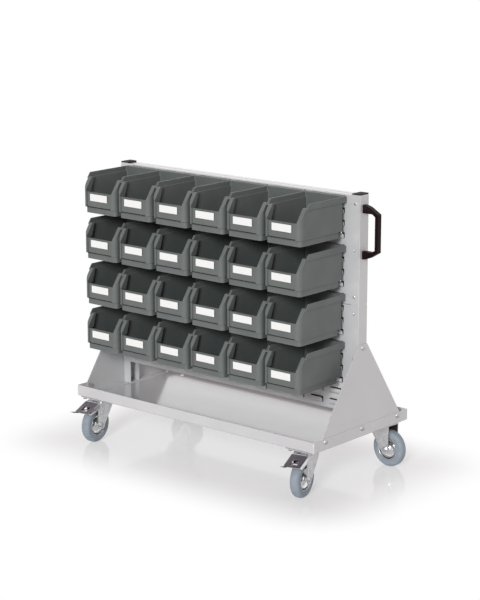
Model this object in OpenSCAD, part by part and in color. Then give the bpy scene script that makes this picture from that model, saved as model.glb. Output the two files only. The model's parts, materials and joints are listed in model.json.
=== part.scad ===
// Mobile bin cart: a tray on four swivel casters, two channel uprights in triangular gussets,
// louvred panels on both sides and open-front bins hung on the front ones.
// Units are millimetres. X runs along the cart, Y to its back, Z up from the floor.

/* [Tray] */
// Length of the tray along X
tray_w = 1006; // [900:2:1400]
// Depth of the tray along Y
tray_d = 485; // [460:5:700]
// Height of the tray's rim above its underside
tray_h = 36.5; // [30:0.5:60]
// Thickness of the tray's sheet
tray_t = 2; // [1.5:0.5:3]
// Depth of the folded hem inside the long rims
hem_h = 10; // [6:1:14]
// Height of the tray's underside above the floor
caster_h = 150; // [120:1:180]

/* [Gussets] */
// Thickness of a gusset's sheet
gusset_t = 2.5; // [2:0.5:4]
// Depth of a gusset at the tray
gusset_d = 400; // [300:5:440]
// Height of a gusset above the tray's floor
gusset_h = 294; // [200:2:400]
// Width of the flange that a gusset stands on
gusset_flange = 35; // [33:1:60]

/* [Uprights] */
// Width of an upright along X
upright_w = 31; // [28:1:34]
// Depth of an upright along Y
upright_d = 44; // [38:1:60]
// Wall of an upright
upright_t = 2; // [1.5:0.5:3]
// Thickness of the cap on an upright
cap_t = 4; // [2:0.5:6]
// Depth of a cap's plug
cap_plug = 12; // [8:1:20]

/* [Panels] */
// Height of the lowest panel's edge above the tray's floor
panel_lift = 75.5; // [50:0.5:120]
// How far a panel ends inside the tray's ends
panel_in = 6; // [5:1:20]
// Least distance from a panel's end to its first column of louvres
panel_edge = 40; // [38:1:60]
// Thickness of a panel's sheet
panel_t = 1.5; // [1:0.5:2]
// Depth of the flanges along a panel's long edges
panel_flange = 22; // [12:1:22]
// Rows of louvres on a panel
louvre_rows = 9; // [9:1:10]
// Distance from row to row
row_pitch = 38; // [36:0.5:40]
// Distance from column to column
col_pitch = 76; // [75:0.5:78]
// Width of a louvre's tab
tab_w = 50; // [40:1:56]
// Height of a louvre's tab
tab_h = 18; // [16:0.5:22]
// Gap between a tab and its panel
tab_gap = 5; // [4:0.25:7]
// Height of the slit above a tab
slit_h = 2.5; // [2:0.5:4]
// Radius of a tab's top corners
tab_r = 4; // [2:0.5:6]

/* [Bins] */
// Columns of bins
bin_cols = 6; // [1:1:8]
// Rows of bins
bin_rows = 4; // [1:1:4]
// Width of a bin over its rim
bin_w = 150; // [120:1:180]
// Gap between neighbouring bins
bin_gap = 2; // [1:0.5:10]
// Length of a bin from its front face to its rim at the back
bin_l = 221.5; // [190:0.5:240]
// Height of a bin
bin_h = 127; // [110:1:130]
// Wall of a bin
bin_t = 2.5; // [2:0.25:3]
// How far the rim band stands out from a bin's sides
band_out = 4; // [2:0.5:5]
// Height of the rim band
band_h = 18; // [12:1:24]
// Height of a bin's stacking foot
foot_h = 20; // [12:1:24]
// Inset of the stacking foot at its sides
foot_in = 8; // [7:1:16]
// Inset of the stacking foot at its front
foot_front_in = 8; // [6:1:30]
// Radius of a bin's front corners
bin_corner_r = 18; // [8:1:24]
// Height of a bin's front wall above its base
front_wall_h = 71; // [60:1:76]
// Height above a bin's base where the sloping edge starts
slope_z = 74; // [70:1:80]
// Depth of the sloping edge along Y
slope_d = 38; // [25:1:50]
// Width of the flange along the sloping edge
slope_flange = 13; // [8:1:18]
// Width of the label card
label_w = 75; // [60:1:90]
// Height of the label card
label_h = 23; // [15:1:26]

/* [Casters] */
// Height from a wheel's top to the tray's underside
wheel_gap = 30; // [28:1:50]
// Width of a tyre
tyre_w = 32; // [26:1:36]
// Height of a tyre from the wheel's metal core to its tread
tyre_wall = 23; // [16:1:26]
// Distance from the swivel axis to the axle
trail = 27; // [22:1:32]
// Distance of the swivel axes from the tray's ends
swivel_in = 63; // [60:1:120]
// Distance of the swivel axes from the tray's long sides
swivel_side = 42.5; // [42:0.5:90]
// Thickness of a fork's sheet
fork_t = 3; // [2:0.5:4]
// Radius of the swivel bolt
kingpin_r = 6; // [5:0.5:8]
// Radius of an axle
axle_r = 5; // [4:0.5:6]
// Turn of the front left caster
angle_front_left = -84; // [-180:1:180]
// Turn of the front right caster
angle_front_right = -78; // [-180:1:180]
// Turn of the rear left caster
angle_rear_left = 12; // [-180:1:180]
// Turn of the rear right caster
angle_rear_right = -4; // [-180:1:180]

/* [Handle] */
// Height of the handle over its feet
handle_h = 168; // [140:1:200]
// How far the handle stands out
handle_out = 58; // [48:1:70]
// Width of the handle along Y
handle_w = 18; // [16:1:30]
// Height of a handle's foot
handle_foot = 25; // [20:1:32]
// Thickness of the handle's bar along X
handle_bar = 11; // [9:0.5:16]
// Distance of the handle's upper end below the upright's top
handle_drop = 30; // [10:1:200]

/* [Hidden] */
$fn = 48;
over = 1;
seat_gap = 0.1;
run_gap = 0.05;
touch_gap = 0.3;
flat_gap = 0.5;

// Heights that follow each other up the cart
floor_top = caster_h + tray_t;
upright_z = floor_top + gusset_t;
panel_h = louvre_rows * row_pitch;
panel_w = tray_w - 2 * panel_in;
louvre_cols = floor((panel_w - 2 * panel_edge) / col_pitch);
panel_z = floor_top + panel_lift;
stack_top = panel_z + 2 * panel_h;
upright_over = 0.9;
upright_h = stack_top + upright_over - upright_z;

// Places that follow each other outwards
end_in = tray_w / 2 - tray_t;
upright_x = end_in - gusset_t;
panel_y = upright_d / 2 + panel_t;
tab_y = panel_y + tab_gap + panel_t;

// Fasteners
bolt_r = 3;
bolt_head_r = 6;
bolt_head_h = 4;
washer_r = 8;
washer_h = 1.2;
nut_h = 5;
bolt_drop = 10;
bolt_spread_share = 0.925;
apex_drop = 11.5;
screw_r = 2.4;
screw_head_r = 4.6;
screw_head_h = 2.2;
screw_tail = 4;
screw_end = 26.5;

// Louvre section
tab_head = 7.1;
web_h = 5;
web_lift = 1.6;
root_d = 2;
root_share = 0.2;

// Bin details
bin_hang_gap = 0.8;
bin_back_in = 13;
hook_t = 2.2;
hook_h = 12;
hook_in = 13;
rim_t = 3;
rib_t = 4;
label_t = 0.6;
label_z = 53;
back_corner_r = 6;
foot_corner_r = 12;
flange_drop = 13;

// Caster details
wheel_r = (caster_h - wheel_gap) / 2;
rim_r = wheel_r - tyre_wall;
swivel_x = tray_w / 2 - swivel_in;
swivel_y = tray_d / 2 - swivel_side;
shoulder_r = 12;
hub_r = 12;
hub_wall = 4;
web_t = 4;
rim_w = 27;
rim_wall = 5.5;
plate_w = 95;
plate_d = 82;
plate_t = 3;
plate_bolt_x = 75;
plate_bolt_y = 62;
plate_bolt_r = 4;
plate_nut_r = 7.4;
plate_nut_h = 6.5;
plate_head_r = 8;
plate_head_h = 2.5;
race_h = 7.2;
race_r = 24;
race_bore = 13;
crown_r = 38;
crown_top = caster_h - plate_t - race_h - touch_gap;
crown_z = crown_top - fork_t;
kingpin_head_r = 10;
kingpin_head_h = 3;
leg_in = 22.5;
leg_r = 15.5;
leg_back = 2;
leg_front = 13.5;
leg_shoulder = 18;
axle_head_r = 8.5;
axle_head_h = 5.5;
hub_half = leg_in - touch_gap;

// Brake pedal
pivot_x = 42;
pivot_over = 4.5;
pivot_up = wheel_r + pivot_over;
pivot_r = 3;
ear_r = 7.5;
pedal_t = 2;
pedal_gap = 0.5;
pedal_x0 = 41.5;
pedal_under = 2;
pedal_up0 = crown_top - wheel_r - pedal_under;
pedal_x1 = 94;
pedal_down = 3.5;
pedal_up1 = wheel_r - pedal_down;
pedal_lip = 5;
tongue_w = 11;
tongue_reach = 24;
tongue_rise = 6;
shoe_x = 70;
shoe_down = 4;
shoe_up = wheel_r - shoe_down;
shoe_r = 3.5;
slot_share = 0.45;

// Handle
handle_flat = 16;
handle_slope = 25;
handle_inner_flat = 11;
handle_inner_rise = 7.5;
handle_hole_d = 14;
handle_screw_r = 3;

// The frame's origin: the middle of the whole cart's footprint, on the floor
shift_x = -(handle_out - gusset_t - tray_t - bolt_head_h - washer_h) / 2;
shift_y = (swivel_y + pedal_x1 + tongue_reach + pedal_lip + pedal_under - tray_d / 2) / 2;

CORNERS = ["front_left", "front_right", "rear_left", "rear_right"];
BRAKED = ["front_left", "front_right"];
BINS = [for (r = [1:bin_rows]) for (c = [1:bin_cols]) str("bin_", r, "_", c)];

function is_left(k) = k == "front_left" || k == "rear_left";
function is_front(k) = k == "front_left" || k == "front_right";
function corner_x(k) = is_left(k) ? -swivel_x : swivel_x;
function corner_y(k) = is_front(k) ? -swivel_y : swivel_y;
function corner_turn(k) =
    k == "front_left" ? angle_front_left :
    k == "front_right" ? angle_front_right :
    k == "rear_left" ? angle_rear_left : angle_rear_right;

// Everything is drawn about the tray's middle and then set in the frame
module placed() {
    translate([shift_x, shift_y, 0]) children();
}

// A block given by its lowest and highest corners
module block(a, b) {
    translate(a) cube(b - a);
}

// A flat shape drawn in X and Z, made thick along Y and centred on it
module along_y(thick) {
    rotate([90, 0, 0]) linear_extrude(thick, center = true) children();
}

// A flat shape drawn in Y and Z, made thick along X and centred on it
module along_x(thick) {
    rotate([90, 0, 90]) linear_extrude(thick, center = true) children();
}

// A round bar along X from x0 to x1
module bar_x(x0, x1, r) {
    translate([x0, 0, 0]) rotate([0, 90, 0]) cylinder(h = x1 - x0, r = r);
}

// A rectangle with its own radius on each end's corners: front is -Y
module plan(w, y0, y1, front_r, back_r) {
    translate([-w / 2, y0 + front_r]) square([w, y1 - y0 - front_r - back_r]);
    translate([-w / 2 + front_r, y0]) square([w - 2 * front_r, front_r + over]);
    translate([-w / 2 + back_r, y1 - back_r - over]) square([w - 2 * back_r, back_r + over]);
    for (s = [-1, 1]) {
        translate([s * (w / 2 - front_r), y0 + front_r]) circle(front_r);
        translate([s * (w / 2 - back_r), y1 - back_r]) circle(back_r);
    }
}

// Places of the bolts through a gusset's foot, and of the one at its top
bolt_z = caster_h + tray_h - bolt_drop;
apex_z = floor_top + gusset_h - apex_drop;
bolt_ys = [for (s = [-1, 0, 1]) s * gusset_d / 2 * bolt_spread_share];

module bolt_holes() {
    for (y = bolt_ys)
        translate([0, y, bolt_z]) bar_x(-tray_w / 2 - over, tray_w / 2 + over, bolt_r + seat_gap);
}

module tray() {
    w = tray_w / 2;
    d = tray_d / 2;
    top = caster_h + tray_h;
    color([0.80, 0.80, 0.80]) difference() {
        union() {
            block([-w, -d, caster_h], [w, d, floor_top]);
            for (s = [0, 180]) rotate([0, 0, s]) {
                block([-w, -d, caster_h], [w, -d + tray_t, top]);
                block([-end_in, -d + tray_t - over, top - hem_h],
                      [end_in, -d + 2 * tray_t, top]);
                block([end_in, -d, caster_h], [w, d, top]);
            }
        }
        bolt_holes();
        for (k = CORNERS) translate([corner_x(k), corner_y(k), floor_top + over])
            plate_holes(tray_t + 2 * over);
    }
}

// The gusset's outline, drawn in Y and Z from the tray's floor
module gusset_outline() {
    foot = gusset_d / 2;
    apex = upright_d / 2;
    shoulder = tray_h - tray_t;
    polygon([[-foot, 0], [foot, 0], [foot, shoulder], [apex, gusset_h], [-apex, gusset_h],
             [-foot, shoulder]]);
}

// The flange ends short of the bolts that hold the casters
flange_y = swivel_y - plate_bolt_y / 2 - plate_head_r - over;

module gusset(side) {
    color([0.74, 0.73, 0.75]) difference() {
        scale_side(side) union() {
            translate([upright_x + gusset_t / 2, 0, floor_top]) along_x(gusset_t) gusset_outline();
            block([end_in - gusset_flange, -flange_y, floor_top], [end_in, flange_y, upright_z]);
        }
        bolt_holes();
        translate([0, 0, apex_z]) bar_x(-tray_w, tray_w, bolt_r + seat_gap);
    }
}

// The left side is the right one turned half round
module scale_side(side) {
    rotate([0, 0, side < 0 ? 180 : 0]) children();
}

module upright(side) {
    x0 = upright_x - upright_w;
    h = upright_d / 2;
    color([0.79, 0.79, 0.79]) difference() {
        scale_side(side) block([x0, -h, upright_z], [upright_x, h, upright_z + upright_h]);
        scale_side(side) block([x0 - over, -h + upright_t, upright_z - over],
                               [upright_x - upright_t, h - upright_t, upright_z + upright_h + over]);
        translate([0, 0, bolt_z]) bar_x(-tray_w, tray_w, bolt_r + seat_gap);
        translate([0, 0, apex_z]) bar_x(-tray_w, tray_w, bolt_r + seat_gap);
        screw_places() cylinder(h = 3 * upright_t, r = screw_r + seat_gap, center = true);
        if (side > 0) handle_screw_places()
            bar_x(-2 * upright_t, 2 * upright_t, handle_screw_r + seat_gap);
    }
}

// Both panels' screws: children point outwards along Z, with the upright's face at 0
module screw_places() {
    for (turn = [0, 180], s = [-1, 1], level = [0, 1])
        for (z = [screw_end, panel_h / 2, panel_h - screw_end])
            rotate([0, 0, turn])
                translate([s * (upright_x - upright_w / 2), -upright_d / 2,
                           panel_z + level * panel_h + z])
                    rotate([90, 0, 0]) children();
}

module cap(side) {
    x0 = upright_x - upright_w;
    h = upright_d / 2;
    top = upright_z + upright_h;
    in = upright_t + touch_gap;
    color([0.30, 0.28, 0.27]) scale_side(side) {
        block([x0 - flat_gap, -h - flat_gap, top], [upright_x + flat_gap, h + flat_gap, top + cap_t]);
        block([x0 + touch_gap, -h + in, top - cap_plug], [upright_x - in, h - in, top + over]);
    }
}

// One louvre's slit in its panel, about the middle of the tab's top edge
module louvre_window() {
    along_y(2 * panel_t + 2 * over) tab_outline(tab_h, slit_h);
}

// Tab outline in X and Z: its foot is at -h, its top corners are round
module tab_outline(h, rise) {
    r = tab_r;
    w = tab_w / 2;
    translate([-w, -h]) square([2 * w, h + rise - r]);
    translate([-w + r, -h]) square([2 * (w - r), h + rise]);
    for (s = [-1, 1]) translate([s * (w - r), rise - r]) circle(r);
}

// The tab itself: a strip cut on three sides, pushed out and left joined at its foot
module louvre_tab() {
    out = tab_gap + panel_t;
    root = panel_t * root_share;
    intersection() {
        along_x(tab_w + over) polygon([
            [root, -tab_h - root_d], [-out, -tab_h + web_h], [-out, over], [-tab_gap, over],
            [-tab_gap, -tab_h + web_h + web_lift], [panel_t - root, -tab_h + root],
            [panel_t - root, -tab_h - root_d]]);
        along_y(4 * out) tab_outline(tab_h + 2 * root_d, 0);
    }
}

// A panel with its front face at y = 0 and its lower edge at z = 0, facing -Y
module louvre_places() {
    for (r = [1:louvre_rows], c = [0:louvre_cols - 1])
        translate([(c - (louvre_cols - 1) / 2) * col_pitch, 0, r * row_pitch - tab_head])
            children();
}

module panel(front, level) {
    w = panel_w / 2;
    inner = upright_x - upright_w - flat_gap;
    turn = front ? 0 : 180;
    low = panel_z + level * panel_h + (level > 0 ? flat_gap : 0);
    high = panel_z + (level + 1) * panel_h;
    color([0.80, 0.80, 0.80]) difference() {
        rotate([0, 0, turn]) union() {
            difference() {
                block([-w, -panel_y, low], [w, -panel_y + panel_t, high]);
                translate([0, -panel_y, panel_z + level * panel_h])
                    louvre_places() louvre_window();
            }
            for (z = [low, high - panel_t])
                block([-inner, -panel_y + panel_t - panel_t / 2, z],
                      [inner, -panel_y + panel_flange, z + panel_t]);
            translate([0, -panel_y, panel_z + level * panel_h]) louvre_places() louvre_tab();
        }
        screw_places() cylinder(h = 4 * panel_t, r = screw_r + seat_gap, center = true);
    }
}

module panel_screws() {
    color([0.72, 0.72, 0.72]) screw_places() {
        translate([0, 0, -upright_t - screw_tail])
            cylinder(h = upright_t + screw_tail + panel_t + screw_head_h / 2, r = screw_r);
        translate([0, 0, panel_t]) cylinder(h = screw_head_h, r = screw_head_r);
    }
}

// A bolt along X with its head's washer on x = 0 and its nut beyond the grip
module bolt(grip) {
    bar_x(-bolt_head_h - washer_h, -washer_h, bolt_head_r);
    bar_x(-washer_h, 0, washer_r);
    bar_x(-over, grip + nut_h + 2 * over, bolt_r);
    bar_x(grip, grip + nut_h, bolt_head_r);
}

module gusset_bolts() {
    grip = tray_t + gusset_t;
    color([0.75, 0.75, 0.76]) for (turn = [0, 180]) rotate([0, 0, turn]) {
        for (y = bolt_ys)
            translate([-tray_w / 2, y, bolt_z]) bolt(grip + (y == 0 ? upright_t : 0));
        translate([-end_in, 0, apex_z]) bolt(gusset_t + upright_t);
    }
}

// Middle heights of the handle's two feet
handle_z = upright_z + upright_h - handle_drop - handle_h;
handle_feet = [handle_foot / 2, handle_h - handle_foot / 2];

module handle_screw_places() {
    for (z = handle_feet) translate([upright_x, 0, handle_z + z]) children();
}

module handle() {
    h = handle_h;
    f = handle_foot;
    x1 = handle_out;
    x2 = handle_out - handle_bar;
    color([0.12, 0.09, 0.09]) difference() {
        translate([upright_x, 0, handle_z]) along_y(handle_w) difference() {
            polygon([[0, 0], [handle_flat, 0], [x1, handle_slope], [x1, h - handle_slope],
                     [handle_flat, h], [0, h]]);
            polygon([[-over, f], [x2 - handle_inner_flat, f], [x2, f + handle_inner_rise],
                     [x2, h - f - handle_inner_rise], [x2 - handle_inner_flat, h - f], [-over, h - f]]);
        }
        handle_screw_places() bar_x(-over, handle_hole_d, handle_screw_r + seat_gap);
    }
}

module handle_screws() {
    color([0.45, 0.45, 0.45]) handle_screw_places() {
        bar_x(-upright_t, handle_hole_d - over, handle_screw_r);
        bar_x(-upright_t - screw_head_h, -upright_t, screw_head_r);
    }
}

// Holes for a caster's four bolts, going down from z = 0
module plate_holes(deep) {
    for (x = [-1, 1], y = [-1, 1])
        translate([x * plate_bolt_x / 2, y * plate_bolt_y / 2, -deep])
            cylinder(h = deep, r = plate_bolt_r + seat_gap);
}

module at_corner(k) {
    translate([corner_x(k), corner_y(k), 0]) children();
}

module turned_corner(k) {
    at_corner(k) rotate([0, 0, corner_turn(k)]) children();
}

module caster_plates() {
    color([0.72, 0.73, 0.74]) for (k = CORNERS) at_corner(k) difference() {
        block([-plate_w / 2, -plate_d / 2, caster_h - plate_t], [plate_w / 2, plate_d / 2, caster_h]);
        translate([0, 0, caster_h + over]) plate_holes(plate_t + 2 * over);
        translate([0, 0, caster_h - plate_t - over])
            cylinder(h = plate_t + 2 * over, r = kingpin_r + seat_gap);
    }
}

module caster_bolts() {
    low = caster_h - plate_t;
    color([0.70, 0.71, 0.72]) for (k = CORNERS, x = [-1, 1], y = [-1, 1])
        at_corner(k) translate([x * plate_bolt_x / 2, y * plate_bolt_y / 2, 0]) {
            translate([0, 0, low - plate_nut_h])
                cylinder(h = plate_nut_h + plate_t + tray_t + plate_head_h / 2, r = plate_bolt_r);
            translate([0, 0, low - plate_nut_h]) cylinder(h = plate_nut_h, r = plate_nut_r, $fn = 6);
            translate([0, 0, floor_top]) cylinder(h = plate_head_h, r = plate_head_r);
        }
}

// Each swivel's bolt and the race that it holds against the fork
module swivel_bearings() {
    low = crown_z - touch_gap - kingpin_head_h;
    race_top = caster_h - plate_t;
    color([0.66, 0.67, 0.68]) for (k = CORNERS) at_corner(k) {
        translate([0, 0, low]) cylinder(h = caster_h - low - flat_gap, r = kingpin_r);
        translate([0, 0, low]) cylinder(h = kingpin_head_h, r = kingpin_head_r);
        difference() {
            translate([0, 0, race_top - race_h]) cylinder(h = race_h, r = race_r);
            translate([0, 0, race_top - race_h - over]) cylinder(h = race_h + 2 * over, r = race_bore);
        }
    }
}

// A fork's leg, drawn in X and Z with the swivel axis at x = 0
module leg_outline(braked) {
    middle = [trail - leg_back, wheel_r];
    shoulder = [-crown_r, crown_top - leg_shoulder];
    away = shoulder - middle;
    tangent = atan2(away[1], away[0]) + acos(leg_r / norm(away));
    back = middle + leg_r * [cos(tangent), sin(tangent)];
    front_x = trail + leg_front;
    polygon([[-crown_r, crown_top], [front_x, crown_top], [front_x, wheel_r], middle, back, shoulder]);
    translate(middle) circle(leg_r);
    if (braked) {
        translate([pivot_x, wheel_r + pivot_up]) circle(ear_r);
        translate([trail, wheel_r + pivot_up - ear_r]) square([pivot_x - trail, 2 * ear_r]);
    }
}

module fork(k) {
    color([0.70, 0.71, 0.72]) turned_corner(k) difference() {
        union() {
            translate([0, 0, crown_z]) cylinder(h = fork_t, r = crown_r);
            block([-crown_r, -leg_in - over, crown_z], [trail + leg_front, leg_in + over, crown_top]);
            for (s = [-1, 1]) translate([0, s * (leg_in + fork_t / 2), 0])
                along_y(fork_t) leg_outline(is_front(k));
        }
        translate([0, 0, crown_z - over])
            cylinder(h = fork_t + 2 * over, r = kingpin_r + run_gap);
        translate([trail, 0, wheel_r]) rotate([90, 0, 0])
            cylinder(h = 4 * leg_in, r = axle_r + seat_gap, center = true);
        if (is_front(k)) translate([pivot_x, 0, wheel_r + pivot_up]) rotate([90, 0, 0])
            cylinder(h = 4 * leg_in, r = pivot_r + run_gap, center = true);
    }
}

// An axle bolt with a hexagon head on one side and its nut on the other
module axle(k) {
    half = leg_in + fork_t;
    color([0.66, 0.67, 0.68]) turned_corner(k) translate([trail, 0, wheel_r]) rotate([90, 0, 0]) {
        cylinder(h = 2 * (half + axle_head_h) - over, r = axle_r, center = true);
        for (s = [0, 180]) rotate([s, 0, 0])
            translate([0, 0, half]) cylinder(h = axle_head_h, r = axle_head_r, $fn = 6);
    }
}

// A wheel's metal core: hub, web and rim in one turned shape
module rim(k) {
    color([0.76, 0.77, 0.78]) turned_corner(k) translate([trail, 0, wheel_r]) rotate([90, 0, 0])
        rotate_extrude() {
            translate([axle_r + run_gap, -hub_half]) square([hub_wall, 2 * hub_half]);
            translate([axle_r + run_gap, -hub_half / 2]) square([hub_r - axle_r, hub_half]);
            translate([axle_r + hub_wall - over, -web_t / 2])
                square([rim_r - axle_r - hub_wall - over, web_t]);
            translate([rim_r - rim_wall, -rim_w / 2]) square([rim_wall, rim_w]);
        }
}

module tyre(k) {
    flat = tyre_w / 2 - shoulder_r;
    low = rim_r + touch_gap;
    color([0.53, 0.60, 0.64]) turned_corner(k) translate([trail, 0, wheel_r]) rotate([90, 0, 0])
        rotate_extrude() intersection() {
            union() {
                translate([low, -tyre_w / 2]) square([wheel_r - shoulder_r - low, tyre_w]);
                translate([low, -flat]) square([wheel_r - low, 2 * flat]);
                for (s = [-1, 1]) translate([wheel_r - shoulder_r, s * flat]) circle(shoulder_r);
            }
            translate([low, -tyre_w]) square([wheel_r, 2 * tyre_w]);
        }
}

// The pedal's side plate, drawn in X and Z like the leg
module pedal_outline() {
    up = wheel_r;
    polygon([[pedal_x0, up + pedal_up0], [pedal_x1, up + pedal_up1],
             [pedal_x1, up + pedal_up1 - pedal_lip], [pedal_x1 - 2 * pedal_lip, up + shoe_up - 2 * pedal_lip],
             [pivot_x, up + pivot_up - ear_r], [pivot_x - ear_r, up + pivot_up - ear_r],
             [pivot_x - ear_r, up + pivot_up + ear_r]]);
}

// The narrow tongue at the pedal's outer end, by which a toe lifts it again
module pedal_tongue(side) {
    x0 = pedal_x1 - pedal_lip;
    z0 = wheel_r + pedal_up1;
    translate([0, -side + tongue_w / 2 - pedal_t / 2, 0]) along_y(tongue_w)
        polygon([[x0, z0], [x0, z0 - pedal_t], [pedal_x1 + pedal_lip, z0 - 2 * pedal_t],
                 [pedal_x1 + tongue_reach + pedal_lip, z0 + tongue_rise - 2 * pedal_t],
                 [pedal_x1 + tongue_reach + pedal_lip, z0 + tongue_rise - pedal_t],
                 [pedal_x1 + pedal_lip, z0 - pedal_t / 2]]);
}

module brake_pedal(k) {
    side = leg_in + fork_t + pedal_gap;
    run = pedal_x1 - pedal_x0;
    drop = pedal_up0 - pedal_up1;
    slope = atan(drop / run);
    long = run / cos(slope);
    color([0.62, 0.63, 0.66]) turned_corner(k) {
        for (s = [-1, 1]) translate([0, s * (side + pedal_t / 2), 0])
            along_y(pedal_t) pedal_outline();
        translate([pedal_x0, 0, wheel_r + pedal_up0]) rotate([0, slope, 0]) difference() {
            block([0, -side - pedal_t / 2, -pedal_t], [long + pedal_lip, side + pedal_t / 2, 0]);
            block([long * slot_share, -side * slot_share, -pedal_t - over],
                  [long * 2 * slot_share, side * slot_share, over]);
        }
        pedal_tongue(side);
        for (p = [[pivot_x, pivot_up, pivot_r], [shoe_x, shoe_up, shoe_r]])
            translate([p[0], 0, wheel_r + p[1]]) rotate([90, 0, 0])
                cylinder(h = 2 * side + pedal_t, r = p[2], center = true);
    }
}

// Y places on a bin: 0 is the louvre tabs' outer face, the bin lies towards -Y
bin_front = -bin_l;
bin_body_w = bin_w - 2 * band_out;
bin_open = bin_body_w / 2 - slope_flange;

// The half space behind the sloping front opening, drawn in Y and Z, with a depth behind it
module slope_side(back) {
    rise = bin_h - slope_z;
    run = slope_d;
    polygon([[bin_front - over, -over], [bin_front - over, slope_z - over * rise / run],
             [bin_front + run + over * run / rise, bin_h + over],
             [bin_front + run + over * run / rise + back, bin_h + over],
             [bin_front + back, -over]]);
}

module bin_shell() {
    difference() {
        union() {
            translate([0, 0, foot_h]) linear_extrude(bin_h - foot_h)
                plan(bin_body_w, bin_front, -bin_back_in, bin_corner_r, back_corner_r);
            translate([0, 0, bin_h - band_h]) linear_extrude(band_h)
                plan(bin_w, bin_front + band_out, -bin_hang_gap, bin_corner_r, back_corner_r);
            linear_extrude(foot_h + over)
                plan(bin_w - 2 * foot_in, bin_front + foot_front_in, -bin_back_in - foot_in,
                     foot_corner_r, foot_corner_r);
        }
        // Cavity of the body, wider inside the band and narrower inside the foot
        translate([0, 0, foot_h + bin_t]) linear_extrude(bin_h)
            plan(bin_body_w - 2 * bin_t, bin_front + bin_t, -bin_back_in - bin_t,
                 bin_corner_r - bin_t, back_corner_r - bin_t);
        translate([0, 0, bin_h - band_h + bin_t]) linear_extrude(bin_h)
            plan(bin_w - 2 * bin_t, bin_front + band_out + bin_t, -bin_back_in - bin_t,
                 bin_corner_r - bin_t, back_corner_r - bin_t);
        translate([0, 0, bin_t]) linear_extrude(bin_h)
            plan(bin_w - 2 * foot_in - 2 * bin_t, bin_front + foot_front_in + bin_t,
                 -bin_back_in - foot_in - bin_t, foot_corner_r - bin_t, foot_corner_r - bin_t);
        // Everything in front of the sloping edge and above the front wall
        difference() {
            block([-bin_w, 2 * bin_front, front_wall_h], [bin_w, bin_front + slope_d * 2, 2 * bin_h]);
            along_x(3 * bin_w) slope_side(bin_l);
        }
        // The front wall is lower between the flanges
        block([-bin_open, 2 * bin_front, front_wall_h], [bin_open, bin_front + bin_t + over, bin_h]);
    }
}

// The two flanges along the sloping edge: a slab of the slope inside the body's plan
module slope_flanges() {
    intersection() {
        along_x(2 * bin_w) slope_side(bin_t * 1.5);
        difference() {
            translate([0, 0, front_wall_h - bin_t]) linear_extrude(bin_h - flange_drop - front_wall_h + bin_t)
                plan(bin_body_w - bin_t, bin_front + bin_t / 2, -bin_back_in - bin_t,
                     bin_corner_r - bin_t / 2, back_corner_r - bin_t / 2);
            block([-bin_open, 2 * bin_front, 0], [bin_open, 0, 2 * bin_h]);
        }
    }
}

module bin(r, c) {
    x = (c - (bin_cols + 1) / 2) * (bin_w + bin_gap);
    z = stack_top - tab_head + touch_gap + rim_t - bin_h - (r - 1) * 4 * row_pitch;
    back = panel_t + touch_gap + hook_t;
    hook = bin_w / 2 - hook_in;
    translate([x, -tab_y, z]) {
        color([0.40, 0.41, 0.40]) {
            bin_shell();
            slope_flanges();
            // Hook over the louvres
            block([-hook, -bin_back_in, bin_h - rim_t], [hook, back, bin_h]);
            block([-hook, back - hook_t, bin_h - hook_h], [hook, back, bin_h]);
            // Ribs that lean on the louvres below
            for (s = [-1, 1]) block([s * col_pitch / 2 - rib_t / 2, -bin_back_in - bin_t / 2, foot_h],
                                    [s * col_pitch / 2 + rib_t / 2, -touch_gap, bin_h - band_h]);
        }
        color([0.95, 0.95, 0.95]) block([-label_w / 2, bin_front - label_t, label_z - label_h / 2],
                                        [label_w / 2, bin_front, label_z + label_h / 2]);
    }
}

placed() tray();
placed() gusset(-1);  // left_gusset
placed() gusset(1);  // right_gusset
placed() upright(-1);  // left_upright
placed() upright(1);  // right_upright
placed() cap(-1);  // left_cap
placed() cap(1);  // right_cap
placed() panel(true, 1);  // front_panel_upper
placed() panel(true, 0);  // front_panel_lower
placed() panel(false, 1);  // rear_panel_upper
placed() panel(false, 0);  // rear_panel_lower
placed() panel_screws();
placed() gusset_bolts();
placed() handle();
placed() handle_screws();
placed() caster_plates();
placed() caster_bolts();
placed() swivel_bearings();
for (k = CORNERS) {
    placed() fork(k);
    placed() axle(k);
    placed() rim(k);
    placed() tyre(k);
}
for (k = BRAKED) {
    placed() brake_pedal(k);
}
for (r = [1:bin_rows], c = [1:bin_cols]) {
    placed() bin(r, c);
}
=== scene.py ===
import json
import math

import bmesh
import bpy
from mathutils import Matrix, Vector


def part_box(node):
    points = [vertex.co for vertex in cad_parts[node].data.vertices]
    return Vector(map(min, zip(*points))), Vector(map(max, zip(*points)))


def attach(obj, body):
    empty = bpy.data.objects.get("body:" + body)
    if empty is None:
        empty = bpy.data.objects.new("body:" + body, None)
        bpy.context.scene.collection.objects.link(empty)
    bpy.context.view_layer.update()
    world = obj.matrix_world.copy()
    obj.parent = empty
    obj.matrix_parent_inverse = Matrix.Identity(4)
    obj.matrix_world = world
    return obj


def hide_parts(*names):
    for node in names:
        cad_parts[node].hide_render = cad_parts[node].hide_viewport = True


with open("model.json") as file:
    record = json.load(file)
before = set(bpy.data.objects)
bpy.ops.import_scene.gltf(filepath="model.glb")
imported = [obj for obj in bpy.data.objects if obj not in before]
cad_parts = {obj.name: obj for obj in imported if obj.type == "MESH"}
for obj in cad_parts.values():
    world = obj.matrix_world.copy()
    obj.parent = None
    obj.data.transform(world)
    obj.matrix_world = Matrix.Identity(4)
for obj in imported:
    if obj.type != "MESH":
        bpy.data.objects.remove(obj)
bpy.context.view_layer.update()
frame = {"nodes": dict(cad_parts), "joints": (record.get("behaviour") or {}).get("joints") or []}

# The looks of a mobile bin cart. Lengths are metres in the frame's own axes: X along the cart,
# Y to its back, Z up from the floor. What follows the frame is measured on its nodes and joints.
MM = 0.001
ARC_STEPS = 5
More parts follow.
